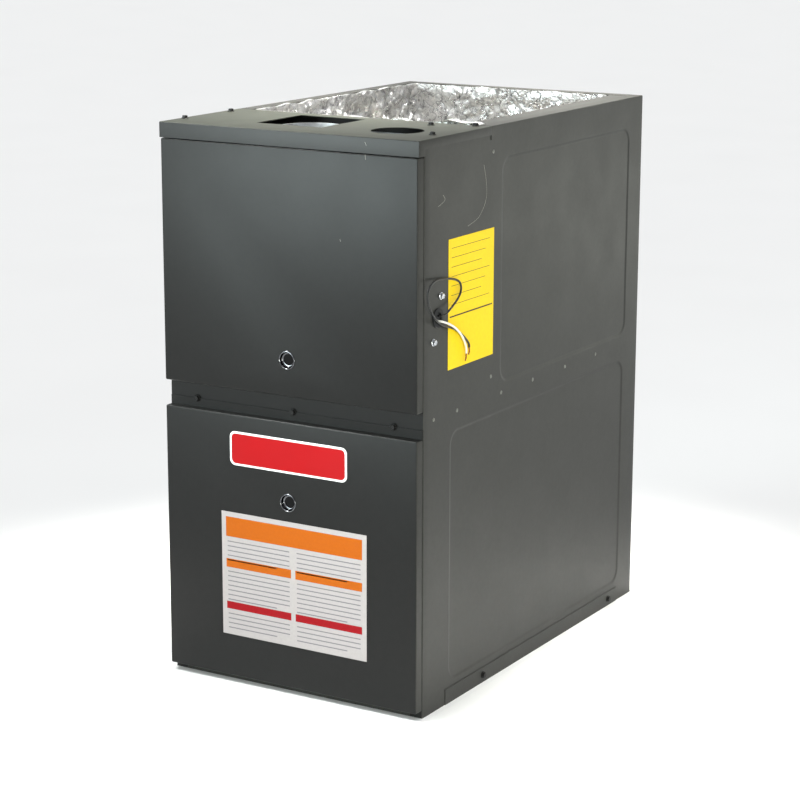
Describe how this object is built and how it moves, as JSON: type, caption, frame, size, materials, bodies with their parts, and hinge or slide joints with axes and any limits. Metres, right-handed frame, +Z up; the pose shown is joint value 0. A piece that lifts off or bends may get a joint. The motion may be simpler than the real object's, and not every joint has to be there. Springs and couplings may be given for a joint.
{
  "type": "forced air gas furnace",
  "caption": "Upflow forced air gas furnace: a tall sheet steel cabinet with two lift-off doors, inshot burners, tubular heat exchanger, draft inducer and circulating blower.",
  "frame": {"origin": "middle of the base, on the floor", "axes": "+X to the right seen from the doors, +Y from the doors to the back panel, +Z up"},
  "size_m": [0.461, 0.7224, 0.8523],
  "materials": {
    "cabinet_paint": "dark grey baked enamel on sheet steel",
    "door_paint": "dark grey baked enamel on sheet steel",
    "black_screw": "black phosphate on steel screws and rivets",
    "zinc_screw": "bright zinc plate",
    "galvanised": "galvanised sheet",
    "foil": "crinkled foil facing on glass fibre",
    "aluminised": "aluminised steel",
    "black_pipe": "black iron pipe",
    "brass": "turned brass",
    "cast_aluminium": "die cast",
    "black_plastic": "moulded",
    "rubber": "soft black rubber",
    "ceramic": "steatite",
    "red_plastic": "moulded",
    "motor_paint": "dark motor enamel",
    "wheel_steel": "galvanised strip",
    "shaft_steel": "ground",
    "circuit_board": "green resist with black parts",
    "white_plastic": "moulded",
    "wiring": "bundled wires in sleeving",
    "wire_black": "insulated wire",
    "wire_white": "insulated wire",
    "copper": "bare stranded copper",
    "sight_ring": "moulded",
    "sight_glass": "clear",
    "badge": "bare red plate with a white border",
    "notice_paper": "coated label paper with plain coloured bands",
    "card_paper": "yellow card stock"
  },
  "bodies": {
    "cabinet": {"cabinet_wrap": "cabinet_paint", "base_pan": "cabinet_paint", "top_plate": "cabinet_paint", "front_rail": "cabinet_paint", "cabinet_screws": "black_screw", "silver_screws": "zinc_screw", "blower_deck": "galvanised", "vestibule_panel": "galvanised", "collector_box": "galvanised", "burner_bracket": "galvanised", "flue_collar": "galvanised", "junction_box": "galvanised", "blower_housing": "galvanised", "blower_rails": "galvanised", "control_board_tray": "galvanised", "inducer_housing": "galvanised", "foil_blanket": "foil", "foil_blanket_front": "foil", "heat_exchanger_tubes": "aluminised", "tube_baffle": "aluminised", "burners": "aluminised", "gas_manifold": "black_pipe", "burner_orifices": "brass", "gas_valve": "cast_aluminium", "gas_valve_cap": "black_plastic", "rollout_switch": "black_plastic", "limit_switch": "black_plastic", "pressure_switch": "black_plastic", "gas_pipe_grommet": "rubber", "wire_grommet": "rubber", "pressure_hose": "rubber", "hot_surface_igniter": "ceramic", "flame_sensor": "ceramic", "inducer_motor": "motor_paint", "blower_motor": "motor_paint", "transformer": "motor_paint", "motor_mount": "wheel_steel", "control_board": "circuit_board", "door_switch": "white_plastic", "internal_wiring": "wiring", "supply_wire_black": "wire_black", "supply_wire_white": "wire_white", "bare_wire_ends": "copper", "yellow_card": "card_paper"},
    "upper_door": {"upper_door_panel": "door_paint", "upper_sight_ring": "sight_ring", "upper_sight_lens": "sight_glass"},
    "lower_door": {"lower_door_panel": "door_paint", "lower_door_screws": "black_screw", "lower_sight_ring": "sight_ring", "lower_sight_lens": "sight_glass", "badge_plate": "badge", "notice_sheet": "notice_paper"},
    "blower_rotor": {"blower_wheel": "wheel_steel", "blower_shaft": "shaft_steel"},
    "inducer_rotor": {"inducer_wheel": "wheel_steel", "cooling_fan": "black_plastic"},
    "gas_knob": {"gas_valve_knob": "black_plastic"},
    "switch_plunger": {"door_switch_plunger": "red_plastic"},
    "reset_button": {"rollout_button": "red_plastic"}
  },
  "joints": [
    {"name": "upper_door_slide", "type": "slide", "parent": "cabinet", "child": "upper_door", "axis": [0, -1, 0], "range_m": [0, 0.25]},
    {"name": "lower_door_slide", "type": "slide", "parent": "cabinet", "child": "lower_door", "axis": [0, -1, 0], "range_m": [0, 0.25]},
    {"name": "blower_spin", "type": "hinge", "parent": "cabinet", "child": "blower_rotor", "pos_m": [0, 0.03, 0.215], "axis": [1, 0, 0], "continuous": true},
    {"name": "inducer_spin", "type": "hinge", "parent": "cabinet", "child": "inducer_rotor", "pos_m": [0.03, -0.26, 0.69], "axis": [0, 1, 0], "continuous": true},
    {"name": "gas_knob_turn", "type": "hinge", "parent": "cabinet", "child": "gas_knob", "pos_m": [-0.151, -0.336, 0.596], "axis": [0, -1, 0], "range_deg": [0, 90]},
    {"name": "plunger_slide", "type": "slide", "parent": "cabinet", "child": "switch_plunger", "axis": [0, -1, 0], "range_m": [0, 0.005]},
    {"name": "reset_press", "type": "slide", "parent": "cabinet", "child": "reset_button", "axis": [0, 0, -1], "range_m": [0, 0.0015], "stiffness_N_per_m": 300, "springref_m": -0.001}
  ],
  "couplings": [
    {"joint": "plunger_slide", "follows": "lower_door_slide", "ratio": 0.02}
  ]
}
